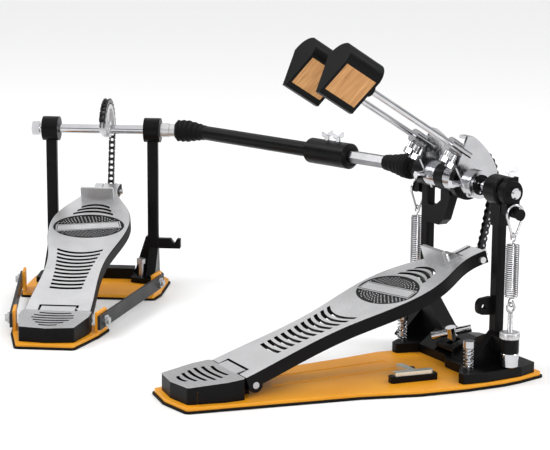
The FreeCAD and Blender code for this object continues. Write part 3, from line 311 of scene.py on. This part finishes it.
class Layout:
    """A pedal's own frame: X along its axle to the right, Z up, origin on the floor below it."""

    def __init__(self, name, axle_joint, hinge_joint, chain_joint):
        axle, side = anchor(axle_joint), -direction(axle_joint)
        self.name = name
        self.side = side
        turn = Matrix.Rotation(math.atan2(side.y, side.x), 4, "Z")
        self.matrix = Matrix.Translation((axle.x, axle.y, 0)) @ turn
        self.axle = Vector((0, 0, axle.z))
        inverse = self.matrix.inverted()
        self.heel = inverse @ anchor(hinge_joint)
        self.chain_pin = inverse @ anchor(chain_joint)

    def board(self, across, along, up):
        """Point on the footboard, from its heel pin."""
        cos, sin = math.cos(BOARD_SLOPE), math.sin(BOARD_SLOPE)
        back, rise = along * cos - up * sin, along * sin + up * cos
        return Vector((across, self.heel.y + back, self.heel.z + rise))

    def upward(self, slope):
        """Normal of a face that climbs towards the axle, in the row's frame."""
        return self.matrix.to_3x3() @ Vector((0, -math.sin(slope), math.cos(slope)))

    def tangent(self):
        """Where the straight run of chain leaves the wheel, and its angle from the front."""
        away = self.axle - self.chain_pin
        away.x = 0
        lean = math.asin(WHEEL_RADIUS / away.length)
        rise = math.atan2(away.y, away.z) + lean
        length = away.length * math.cos(lean)
        return self.chain_pin + Vector((0, math.sin(rise), math.cos(rise))) * length, -rise


right = Layout("right", "right_axle_turn", "right_pedal_hinge", "right_chain_hinge")
slave = Layout("slave", "slave_axle_turn", "slave_pedal_hinge", "slave_chain_hinge")


def board_finish(name, layout):
    """Footboard: bright tread over black sides."""
    normal = layout.upward(BOARD_SLOPE)
    tread = normal.dot(layout.matrix @ layout.heel) + BOARD_TOP
    return two_tone(name, normal, tread - BRIGHT_DEPTH, SILVER)


def heel_finish(name, layout):
    """Heel plate: bright sloping rest over black sides."""
    normal = layout.upward(HEEL_REST_SLOPE)
    return two_tone(name, normal, normal.dot(layout.matrix @ HEEL_REST_TOP) - BRIGHT_DEPTH, SILVER)


# Mesh code

CREASE = 40.0     # degrees; sharper edges than this stay hard


class Shape:
    """Vertices and faces gathered in row or layout coordinates, with a material for each face."""

    def __init__(self, *materials):
        self.materials = materials
        self.points, self.faces, self.skins, self.smooth = [], [], [], []

    def rows(self, rows, skin=0, loop=False, smooth=True):
        """Skin over rows of points, each a closed loop. The ends are capped, or joined."""
        base, count = len(self.points), len(rows[0])
        faces = []
        for low in range(len(rows) if loop else len(rows) - 1):
            near, far = low * count, (low + 1) % len(rows) * count
            for index in range(count):
                after = (index + 1) % count
                faces.append([near + index, near + after, far + after, far + index])
        if not loop:
            last = (len(rows) - 1) * count
            faces.append(list(range(count))[::-1])
            faces.append(list(range(last, last + count)))
        self.points += [Vector(point) for row in rows for point in row]
        self.faces += [[base + index for index in face] for face in faces]
        self.skins += [skin] * len(faces)
        self.smooth += [smooth] * len(faces)

    def sweep(self, path, radius, sides=10, skin=0, loop=False):
        """Round wire along a path of points."""
        count = len(path)
        rows, side = [], None
        for index, point in enumerate(path):
            before = path[index - 1] if index or loop else point
            after = path[(index + 1) % count] if index < count - 1 or loop else point
            along = (after - before).normalized()
            side = along.orthogonal() if side is None else side - along * side.dot(along)
            side.normalize()
            rows.append(circle(point, side, along.cross(side), radius, sides))
        self.rows(rows, skin, loop)

    def lathe(self, start, along, profile, sides=32, skin=0, bite=0.0):
        """Turned shape from a profile of (distance, radius). A bite deep knurl halves its sides."""
        side = along.orthogonal().normalized()
        other = along.cross(side)
        rows = []
        for distance, radius in profile:
            row = []
            for step in range(sides):
                reach = radius - bite * (step % 2)
                t = 2 * math.pi * step / sides
                spoke = (side * math.cos(t) + other * math.sin(t)) * reach
                row.append(start + along * distance + spoke)
            rows.append(row)
        self.rows(rows, skin, smooth=not bite)

    def slab(self, outline, offset, skin=0):
        """Flat plate: a closed outline of points, and the vector to its other face."""
        self.rows([list(outline), [point + offset for point in outline]], skin, smooth=False)

    def build(self, name, matrix=None, crease=CREASE):
        mesh = bpy.data.meshes.new(name)
        points = [matrix @ point for point in self.points] if matrix else self.points
        mesh.from_pydata([tuple(point) for point in points], [], self.faces)
        for material in self.materials:
            mesh.materials.append(material)
        mesh.polygons.foreach_set("material_index", self.skins)
        mesh.polygons.foreach_set("use_smooth", self.smooth)
        mesh.update()
        piece = bpy.data.objects.new(name, mesh)
        bpy.context.scene.collection.objects.link(piece)
        orient_faces(mesh)
        mesh.set_sharp_from_angle(angle=math.radians(crease))
        return piece


def orient_faces(mesh):
    work = bmesh.new()
    work.from_mesh(mesh)
    bmesh.ops.recalc_face_normals(work, faces=work.faces)
    work.to_mesh(mesh)
    work.free()


# Chains

def link(shape, start, end, across, outer):
    """One chain link: two waisted plates, and the roller and pin at its start."""
    end_radius, waist, thick = 2.9 * MM, 1.9 * MM, 0.8 * MM
    plate_at = 2.55 * MM if outer else 1.65 * MM
    roller_radius, roller_half = 1.65 * MM, 1.6 * MM
    pin_radius, pin_end, chamfer, pin_half = 1.15 * MM, 0.9 * MM, 0.2 * MM, 3.5 * MM
    along = (end - start).normalized()
    up = across.cross(along)
    outline = []
    for centre, sign in ((end, 1), (start, -1)):
        for step in range(7):
            t = math.radians(-90 + 30 * step)
            outline.append(centre + (along * math.cos(t) + up * math.sin(t)) * (sign * end_radius))
        outline.append((start + end) / 2 + up * (sign * waist))
    for sign in (-1, 1):
        face = [point + across * (sign * plate_at) for point in outline]
        shape.slab(face, across * (sign * thick))
    roller = [(0, roller_radius), (2 * roller_half, roller_radius)]
    shape.lathe(start - across * roller_half, across, roller, 12)
    pin = [(0, pin_end), (chamfer, pin_radius),
           (2 * pin_half - chamfer, pin_radius), (2 * pin_half, pin_end)]
    shape.lathe(start - across * pin_half, across, pin, 10, skin=1)


def links(name, pins, matrix, first):
    """Chain through a list of pin centres. Every other link is an outer one."""
    shape = Shape(chain_steel, steel)
    for index, (start, end) in enumerate(zip(pins, pins[1:])):
        link(shape, start, end, X, (index + first) % 2 == 1)
    return shape.build(name, matrix)


def chain(layout):
    """Straight run and wrap. Pressing the pedal draws links out of the wrap into the run."""
    tangent, begin = layout.tangent()
    pin = layout.chain_pin
    count = round((tangent - pin).length / CHAIN_PITCH)
    pins = [pin.lerp(tangent, step / count) for step in range(count + 1)]
    piece = links("chain_links_" + layout.name, pins, layout.matrix, 0)
    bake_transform(piece)
    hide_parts("chain_run_" + layout.name)
    sweep = math.radians(WRAP_END[layout.name]) - begin
    steps = round(sweep * WHEEL_RADIUS / CHAIN_PITCH)
    centre = layout.axle + X * pin.x
    turns = [begin + sweep * step / steps for step in range(steps + 1)]
    around = [centre + Vector((0, math.cos(t), math.sin(t))) * WHEEL_RADIUS for t in turns]
    wrapped = links("chain_on_wheel_" + layout.name, around, layout.matrix, count)
    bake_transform(wrapped)
    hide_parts("chain_wrap_right" if layout.name == "right" else "slave_chain_wrap")


# Springs

def helix(start, end, radius, turns, steps=14, taper=0.18):
    """Helix between two points, narrowing over its last turn at each end."""
    axis = end - start
    side = axis.orthogonal().normalized()
    other = axis.normalized().cross(side)
    total = turns * steps
    path = []
    for step in range(total + 1):
        share = step / total
        t = 2 * math.pi * step / steps
        from_end = min(share, 1 - share) * turns
        reach = radius * (1 - taper * max(0.0, 1 - from_end))
        path.append(start + axis * share + (side * math.cos(t) + other * math.sin(t)) * reach)
    return path


def hook(shape, coil_end, centre):
    """Round hook that rises from the coil's end and closes round its eye."""
    up = (centre - coil_end).normalized()
    side = Y.cross(up).normalized()
    turns = [math.radians(-90 + 20 * step) for step in range(17)]
    loop = [centre + (side * math.cos(t) + up * math.sin(t)) * HOOK_RADIUS for t in turns]
    shape.sweep([coil_end, coil_end.lerp(loop[0], 0.5)] + loop, HOOK_WIRE, 8)


def extension_spring(side):
    """Coil with a hook at each end. It stretches between its eyebolt and its link."""
    low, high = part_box("spring_" + side)
    x = (low.x + high.x) / 2
    y = anchor(side + "_spring_swing").y
    bottom, top = Vector((x, y, COIL_LOW)), Vector((x, y, COIL_HIGH))
    reach = HOOK_RADIUS + HOOK_WIRE
    shape = Shape(steel_bright)
    shape.sweep(helix(bottom, top, COIL_RADIUS, COIL_TURNS), COIL_WIRE, 6)
    hook(shape, bottom, Vector((x, y, low.z + reach)))
    hook(shape, top, Vector((x, y, high.z - reach)))
    for end, out in ((bottom, -Z), (top, Z)):
        bridge = [end + X * COIL_RADIUS * 0.8, end + out * 0.8 * MM, end]
        shape.sweep(bridge, COIL_WIRE, 6)
    piece = shape.build("spring_coil_" + side)
    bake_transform(piece)
    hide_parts("spring_" + side)


def spur_coils():
    """Compression springs under the spurs' heads. Together they stand in for one CAD node."""
    radius, wire, turns = 4.3 * MM, 0.6 * MM, 6
    foot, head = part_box("spur_springs")[0].z + wire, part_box("spur_springs")[1].z - 0.2 * MM
    for side in ("right", "left"):
        low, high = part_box("spur_" + side)
        centre = (low + high) / 2
        bottom, top = Vector((centre.x, centre.y, foot)), Vector((centre.x, centre.y, head))
        shape = Shape(steel_bright)
        shape.sweep(helix(bottom, top, radius, turns, 18, 0.0), wire, 8)
        piece = shape.build("spur_spring_" + side)
        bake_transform(piece)
    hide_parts("spur_springs")


# Boots

def boot(name, node, body, joint, narrow, wide, lengths):
    """Ribbed rubber boot: a cone that is narrow on the shaft and follows the bend of its joint."""
    mouth, radius, lip, fold_depth = 7.6 * MM, 12.2 * MM, 8.6 * MM, 0.9 * MM
    full_at, lip_at, folds_at = 0.62, 0.9, 0.2      # shares of the boot's length
    folds, steps, sides = 6, 8, 36
    low, high = joint + narrow * lengths[0], joint + wide * lengths[1]
    rows, total = [], folds * steps
    for step in range(total + 1):
        share = step / total
        centre = low * (1 - share) ** 2 + joint * (2 * share * (1 - share)) + high * share ** 2
        along = ((joint - low) * (1 - share) + (high - joint) * share).normalized()
        side = along.cross(Z).normalized()
        crest = mouth + (radius - mouth) * min(1.0, share / full_at)
        crest -= (radius - lip) * max(0.0, (share - lip_at) / (1 - lip_at))
        fold = 0.5 + 0.5 * math.cos(2 * math.pi * step / steps)
        crest -= fold_depth * fold * min(1.0, share / folds_at)
        rows.append(circle(centre, side, side.cross(along), crest, sides))
    shape = Shape(rubber)
    shape.rows(rows)
    piece = shape.build(name, crease=75)
    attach(piece, body)
    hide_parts(node)


# Badge

def badge(layout, body):
    """Oval inlay: two fields of raised dots parted by a plain tilted strip, with no lettering."""
    centre, half_across, half_along = 163.5 * MM, 38.0 * MM, 25.0 * MM
    top, thick, margin = BOARD_TOP - 0.35 * MM, 0.4 * MM, 2 * MM
    tilt = math.radians(9.0)
    strip_half, strip_reach, rim, gap = 7.2 * MM, half_across * 0.93, 1.1 * MM, 1.2 * MM
    ring_across, ring_along, per_ring = 3.1625 * MM, 2.6125 * MM, 0.8 * 2 * math.pi
    dot = [(0, 0.72 * MM), (0.1 * MM, 0.66 * MM), (0.15 * MM, 0.4 * MM)]
    shape = Shape(plastic, satin)
    down = layout.board(0, 0, 0) - layout.board(0, 0, thick)
    normal = -down.normalized()

    turns = [2 * math.pi * step / 96 for step in range(96)]
    oval = [layout.board(half_across * math.cos(t), centre + half_along * math.sin(t), top)
            for t in turns]
    shape.slab(oval, down)

    def strip_point(across, along, lift):
        turned_across = across * math.cos(tilt) - along * math.sin(tilt)
        turned_along = across * math.sin(tilt) + along * math.cos(tilt)
        return layout.board(turned_across, centre + turned_along, top + lift)

    for inset, lift, skin in ((0, 0.15 * MM, 1), (rim, 0.2 * MM, 0), (1.7 * rim, 0.25 * MM, 1)):
        half, reach = strip_half - inset, strip_reach - inset
        corners = [(-reach, -half), (reach, -half), (reach * 0.94, half), (-reach, half)]
        shape.slab([strip_point(a, b, lift) for a, b in corners], down * 0.3, skin)

    for ring in range(1, math.ceil(half_across / ring_across)):
        count = max(6, round(ring * per_ring))
        for step in range(count):
            t = 2 * math.pi * (step + 0.5 * (ring % 2)) / count
            across, along = ring * ring_across * math.cos(t), ring * ring_along * math.sin(t)
            span = math.hypot(across / (half_across - margin), along / (half_along - margin))
            from_strip = abs(along * math.cos(tilt) - across * math.sin(tilt)) - strip_half
            if span < 1 and from_strip > gap:
                shape.lathe(layout.board(across, centre + along, top), normal, dot, 7, skin=1)
    piece = shape.build("badge_" + layout.name, layout.matrix)
    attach(piece, body)


# Serrated edge of the rubber pads

def outline_loops(node):
    """Loops round a flat node's lower face, as ordered lists of points."""
    mesh = frame["nodes"][node].data
    floor = min(vertex.co.z for vertex in mesh.vertices)
    edges = {}
    for polygon in mesh.polygons:
        corners = [mesh.vertices[index].co for index in polygon.vertices]
        if all(abs(corner.z - floor) < 1e-6 for corner in corners):
            keys = [(round(corner.x, 6), round(corner.y, 6)) for corner in corners]
            for first, second in zip(keys, keys[1:] + keys[:1]):
                if (second, first) in edges:
                    del edges[(second, first)]
                else:
                    edges[(first, second)] = True
    following = dict(edges.keys())
    loops = []
    while following:
        start = next(iter(following))
        loop = [start]
        key = following.pop(start)
        while key != start and key in following:
            loop.append(key)
            key = following.pop(key)
        loops.append([Vector((x, y, floor)) for x, y in loop])
    return loops


def serrated(name, node, body):
    """Toothed rim round a pad, like the edge of the real grip mat."""
    pitch, depth, root, inset = 2.6 * MM, 1.7 * MM, 0.2 * MM, 2.0 * MM
    clear, shortest = 0.1 * MM, 150 * MM
    low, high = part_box(node)
    thick = high.z - low.z - 3 * clear
    shape = Shape(rubber)
    for loop in outline_loops(node):
        lengths = [(b - a).length for a, b in zip(loop, loop[1:] + loop[:1])]
        total = sum(lengths)
        if total < shortest:
            continue
        count = int(total / pitch) * 2
        inner, outer, passed, index = [], [], 0.0, 0
        for step in range(count):
            goal = total * step / count
            while passed + lengths[index] < goal:
                passed += lengths[index]
                index += 1
            first, second = loop[index], loop[(index + 1) % len(loop)]
            along = (second - first).normalized()
            out = along.cross(Z)
            mark = first + along * (goal - passed) + Z * clear
            inner.append(mark - out * inset)
            outer.append(mark + out * (depth if step % 2 else root))
        upper = [[point + Z * thick for point in row] for row in (outer, inner)]
        shape.rows([inner, outer] + upper, loop=True, smooth=False)
    piece = shape.build(name)
    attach(piece, body)


# Small hardware

def adjusters():
    """Threaded eyebolts with their knurled nuts and the knobs below the lugs."""
    eye_radius, eye_wire, pitch = 4.1 * MM, 1.15 * MM, 0.5 * MM
    crest, root = 2.5 * MM, 2.15 * MM
    knob_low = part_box("tension_adjusters")[0].z
    bolt_low, bolt_high = knob_low + 3.2 * MM, EYE_HEIGHT - 4.6 * MM
    height, chamfer = LUG_LOW - 0.4 * MM - knob_low, 0.8 * MM
    knob = [(0, 7.6 * MM), (chamfer, 8.4 * MM), (height - chamfer, 8.4 * MM), (height, 7.7 * MM)]
    nut = [(0, 8.6 * MM), (0.6 * MM, 9.2 * MM), (5.2 * MM, 9.2 * MM), (5.9 * MM, 8.6 * MM)]
    shape = Shape(chrome, satin, steel)
    for side in ("right", "left"):
        x, y = anchor(side + "_spring_swing").xy
        eye = circle(Vector((x, y, EYE_HEIGHT)), Y, Z, eye_radius, 24)
        shape.sweep(eye, eye_wire, 10, 2, loop=True)
        turns = range(int((bolt_high - bolt_low) / pitch))
        thread = [(step * pitch, crest if step % 2 else root) for step in turns]
        shape.lathe(Vector((x, y, bolt_low)), Z, thread, 20, skin=2)
        shape.lathe(Vector((x, y, LUG_TOP + 0.05 * MM)), Z, nut, 92, skin=1, bite=0.35 * MM)
        shape.lathe(Vector((x, y, knob_low)), Z, knob, 40)
    piece = shape.build("spring_adjusters")
    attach(piece, "frame")
    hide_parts("tension_adjusters")


def hub_face():
    """Dark ring with three small screws, recessed in the end of the right hub."""
    recess, screw_ring, screw_lift = 2.4 * MM, 7.2 * MM, 0.7 * MM
    centre = Vector((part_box("beater_hub_right")[1].x - recess, 0, right.axle.z))
    screw = [(0, 1.2 * MM), (0.5 * MM, 1.1 * MM), (0.7 * MM, 0.7 * MM)]
    shape = Shape(black, chrome)
    shape.lathe(centre, X, [(0, 9.4 * MM), (0.8 * MM, 9.3 * MM)], 40)
    for step in range(3):
        t = math.radians(30 + 120 * step)
        place = centre + X * screw_lift + (Y * math.cos(t) + Z * math.sin(t)) * screw_ring
        shape.lathe(place, X, screw, 14, skin=1)
    piece = shape.build("hub_face")
    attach(piece, "axle_right")


# Finishes of the CAD nodes

FINISHES = {
    rubber: ["base_pad", "slave_pads", "boot_primary", "boot_slave"],
    orange: ["base_plate", "slave_plates"],
    black: ["post_right", "post_left", "bridge_casting", "rocker_left", "hoop_jaw", "slave_posts",
            "shaft_tube", "coupler_primary", "lock_sleeve", "chain_wheel_right"],
    plastic: ["beater_body_right", "beater_body_left"],
    chrome: ["axle_right", "axle_left", "slave_axle", "hub_screws_right", "hub_screws_left",
             "hoop_screw", "shaft_lock_screws", "spring_link_right", "spring_link_left",
             "tension_adjusters", "spur_springs", "spring_right", "spring_left"],
    cast_chrome: ["beater_hub_right", "beater_hub_left", "spur_right", "spur_left"],
    rod_metal: ["beater_rod_right", "beater_rod_left"],
    satin: ["toe_hardware_right", "toe_hardware_slave", "slave_coupler", "slave_chain_wheel"],
    hex_satin: ["hex_rod"],
    steel: ["axle_bearings", "slave_fasteners", "heel_pin"],
    chain_steel: ["chain_run_right", "chain_run_slave", "chain_wrap_right", "slave_chain_wrap"],
    rail_grey: ["slave_rails"],
    wood_paint: ["beater_wood_right", "beater_wood_left"],
    felt_paint: ["beater_felt_right", "beater_felt_left"],
    board_finish("footboard_finish", right): ["footboard_right"],
    board_finish("slave_footboard_finish", slave): ["footboard_slave"],
    heel_finish("heel_finish", right): ["heel_plate"],
    heel_finish("slave_heel_finish", slave): ["slave_heel_plate"],
    key_finish: ["drum_key_and_clip"],
    rocker_finish: ["rocker_right"],
}
for material, node_names in FINISHES.items():
    for node_name in node_names:
        node_mesh = frame["nodes"][node_name].data
        node_mesh.materials.clear()
        node_mesh.materials.append(material)

# Pieces

chain(right)
chain(slave)
for hand in ("right", "left"):
    extension_spring(hand)
spur_coils()
shaft_end, shaft_start = anchor("shaft_inner_turn"), anchor("shaft_outer_turn")
shaft_along = (shaft_end - shaft_start).normalized()
boot("boot_folds_primary", "boot_primary", "frame", shaft_end, -shaft_along, X,
     (26 * MM, 14 * MM))
boot("boot_folds_slave", "boot_slave", "slave_base", shaft_start, shaft_along, -slave.side,
     (24 * MM, 20 * MM))
badge(right, "footboard_right")
badge(slave, "footboard_slave")
serrated("pad_teeth_primary", "base_pad", "frame")
serrated("pad_teeth_slave", "slave_pads", "slave_base")
adjusters()
hub_face()


# Floor, lights and camera

FLOOR_HALF = 20.0
FLOOR_GAP = 0.2 * MM                              # keeps the floor clear of the pads
LIT_POINT = Vector((-0.2, -0.08, 0.08))           # where the lamps aim
LAMPS = [("key", (-1.2, -1.6, 1.9), 0.9, 20.0),   # name, place, width, watts
         ("rim", (0.9, 1.5, 1.6), 0.7, 14.0),
         ("front", (1.9, -0.9, 0.9), 0.5, 8.0)]
SKY_STRENGTH = 1.1
SKY_LEVELS = ((0.0, 0.85), (0.12, 0.85), (0.17, 0.10), (0.33, 0.08), (0.48, 1.0))
VIEW_AZIMUTH, VIEW_HEIGHT, VIEW_ROLL = math.radians(61.7), math.radians(10.9), math.radians(0.4)
VIEW_TARGET = Vector((-308.7, -32.7, 80)) * MM
VIEW_DISTANCE = 1.8475
VIEW_LENS, VIEW_SENSOR = 112.16, 36


def studio():
    """Plain pale floor, three soft lamps and the sky."""
    scene = bpy.context.scene
    half = FLOOR_HALF
    corners = [(-half, -half, 0), (half, -half, 0), (half, half, 0), (-half, half, 0)]
    mesh = bpy.data.meshes.new("floor")
    mesh.from_pydata(corners, [], [(0, 1, 2, 3)])
    floor = bpy.data.objects.new("floor", mesh)
    floor.location.z = -FLOOR_GAP
    scene.collection.objects.link(floor)
    paper = Paint("floor_paper").set(colour=(0.93, 0.93, 0.93), roughness=0.7)
    mesh.materials.append(paper.material)
    scene.world = sky()
    scene.view_settings.view_transform = "Standard"
    for name, place, width, power in LAMPS:
        light = bpy.data.lights.new(name, "AREA")
        light.size = width
        light.energy = power
        lamp = bpy.data.objects.new(name, light)
        lamp.location = place
        lamp.rotation_euler = (Vector(place) - LIT_POINT).to_track_quat("Z", "Y").to_euler()
        scene.collection.objects.link(lamp)


def sky():
    """Soft box overhead, a dark band for bright metal to reflect, and a pale horizon."""
    world = bpy.data.worlds.new("studio")
    world.use_nodes = True
    tree = world.node_tree
    toward = tree.nodes.new("ShaderNodeTexCoord").outputs["Generated"]
    parts = tree.nodes.new("ShaderNodeSeparateXYZ")
    tree.links.new(toward, parts.inputs[0])
    ramp = tree.nodes.new("ShaderNodeValToRGB")
    tree.links.new(parts.outputs["Z"], ramp.inputs[0])
    stops = ramp.color_ramp.elements
    for index, (height, level) in enumerate(SKY_LEVELS):
        stop = stops[index] if index < 2 else stops.new(height)
        stop.position = height
        stop.color = (level, level, level, 1)
    background = tree.nodes["Background"]
    tree.links.new(ramp.outputs[0], background.inputs["Color"])
    background.inputs["Strength"].default_value = SKY_STRENGTH
    return world


def viewpoint():
    """Camera at the angle from which the object is usually shown."""
    reach = math.cos(VIEW_HEIGHT)
    level = Vector((math.cos(VIEW_AZIMUTH), math.sin(VIEW_AZIMUTH), 0))
    back = Vector((math.sin(VIEW_AZIMUTH) * reach, -math.cos(VIEW_AZIMUTH) * reach,
                   math.sin(VIEW_HEIGHT)))
    up = back.cross(level)
    side = level * math.cos(VIEW_ROLL) + up * math.sin(VIEW_ROLL)
    top = up * math.cos(VIEW_ROLL) - level * math.sin(VIEW_ROLL)
    data = bpy.data.cameras.new("view")
    data.lens, data.sensor_width, data.clip_end = VIEW_LENS, VIEW_SENSOR, 60
    camera = bpy.data.objects.new("view", data)
    facing = Matrix((side, top, back)).transposed().to_4x4()
    camera.matrix_world = Matrix.Translation(VIEW_TARGET + back * VIEW_DISTANCE) @ facing
    bpy.context.scene.collection.objects.link(camera)
    bpy.context.scene.camera = camera


studio()
viewpoint()
